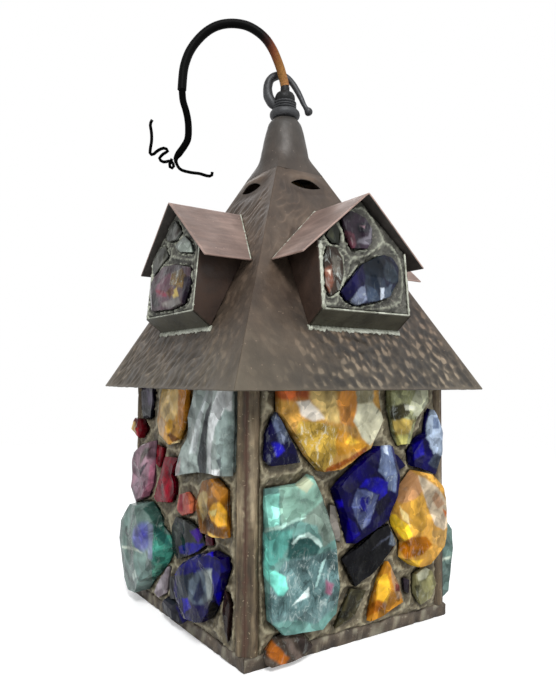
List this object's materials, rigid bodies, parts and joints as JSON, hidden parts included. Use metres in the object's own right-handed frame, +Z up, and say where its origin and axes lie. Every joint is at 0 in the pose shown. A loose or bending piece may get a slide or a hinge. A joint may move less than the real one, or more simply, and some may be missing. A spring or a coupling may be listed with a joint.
{
  "type": "hanging lantern",
  "caption": "Square hanging lantern with leaded chunk glass walls, a steep hammered roof with glazed gabled dormers, a hook on top and a screw-in lamp inside.",
  "frame": {"origin": "centre of the lantern's bottom rim, on the surface it stands on", "axes": "+Z up through the hook; -Y out of the front glass wall, -X out of the left glass wall"},
  "size_m": [0.2086, 0.2086, 0.4507],
  "materials": {
    "roof_copper": "hammered copper sheet, brown-grey patina",
    "neck_metal": "dark grey-green patinated sheet",
    "dormer_copper": "pinkish brown copper sheet with pale soldered edges",
    "dark_copper": "dark red-brown copper sheet",
    "leading": "dull taupe-grey leading",
    "frame_lead": "olive-brown half-round bars",
    "amber_glass": "thick rough amber glass",
    "cobalt_glass": "thick rough cobalt glass",
    "pale_glass": "thick rough pale grey-green glass",
    "ruby_glass": "thick rough ruby and mauve glass",
    "iron": "dull dark iron",
    "brass": "plain brass",
    "porcelain": "glazed porcelain",
    "black_rubber": "black rubber",
    "amber_sleeve": "amber and red-brown sleeve",
    "black_cord": "black cord",
    "bulb_glass": "frosted lamp glass"
  },
  "bodies": {
    "root": {"roof_panel_front": "roof_copper", "roof_panel_right": "roof_copper", "roof_panel_back": "roof_copper", "roof_panel_left": "roof_copper", "roof_neck": "neck_metal", "dormer_front_roof": "dormer_copper", "dormer_front_box": "dark_copper", "dormer_front_leading": "leading", "dormer_front_glass_navy": "cobalt_glass", "dormer_right_roof": "dormer_copper", "dormer_right_box": "dark_copper", "dormer_right_leading": "leading", "dormer_right_glass_pink": "ruby_glass", "dormer_back_roof": "dormer_copper", "dormer_back_box": "dark_copper", "dormer_back_leading": "leading", "dormer_back_glass_navy": "cobalt_glass", "dormer_left_roof": "dormer_copper", "dormer_left_box": "dark_copper", "dormer_left_leading": "leading", "dormer_left_glass_pink": "ruby_glass", "wall_front_frame": "frame_lead", "wall_front_leading": "leading", "wall_front_glass_amber_top": "amber_glass", "wall_front_glass_aqua": "pale_glass", "wall_front_glass_cobalt": "cobalt_glass", "wall_front_glass_amber_side": "amber_glass", "wall_right_frame": "frame_lead", "wall_right_leading": "leading", "wall_right_glass_clear": "pale_glass", "wall_right_glass_pink": "ruby_glass", "wall_right_glass_teal": "pale_glass", "wall_right_glass_cobalt": "cobalt_glass", "wall_back_frame": "frame_lead", "wall_back_leading": "leading", "wall_back_glass_amber_top": "amber_glass", "wall_back_glass_aqua": "pale_glass", "wall_back_glass_cobalt": "cobalt_glass", "wall_back_glass_amber_side": "amber_glass", "wall_left_frame": "frame_lead", "wall_left_leading": "leading", "wall_left_glass_clear": "pale_glass", "wall_left_glass_pink": "ruby_glass", "wall_left_glass_teal": "pale_glass", "wall_left_glass_cobalt": "cobalt_glass", "neck_ring": "iron", "threaded_rod": "brass", "lock_nut": "brass", "holder_cap": "brass", "holder_shell": "brass", "holder_interior": "porcelain", "inner_lead": "black_cord"},
    "hook": {"hook": "iron", "cord_grommet": "black_rubber", "cord_sleeve": "amber_sleeve", "cord_flex": "black_cord", "cord_wire": "black_cord"},
    "contact": {"contact_spring": "brass"},
    "bulb": {"bulb_base": "brass", "bulb_glass": "bulb_glass"}
  },
  "joints": [
    {"name": "hook_turn", "type": "hinge", "parent": "root", "child": "hook", "pos_m": [0, 0, 0.38069], "axis": [0, 0, 1], "range_deg": [-90, 90]},
    {"name": "contact_follow", "type": "slide", "parent": "root", "child": "contact", "axis": [0, 0, -1], "range_m": [0, 0.00235]},
    {"name": "bulb_turn", "type": "hinge", "parent": "contact", "child": "bulb", "pos_m": [0, 0, 0.27], "axis": [0, 0, -1], "range_deg": [0, 230]}
  ],
  "couplings": [
    {"joint": "contact_follow", "follows": "bulb_turn", "m_per_rad": 0.0005776}
  ]
}
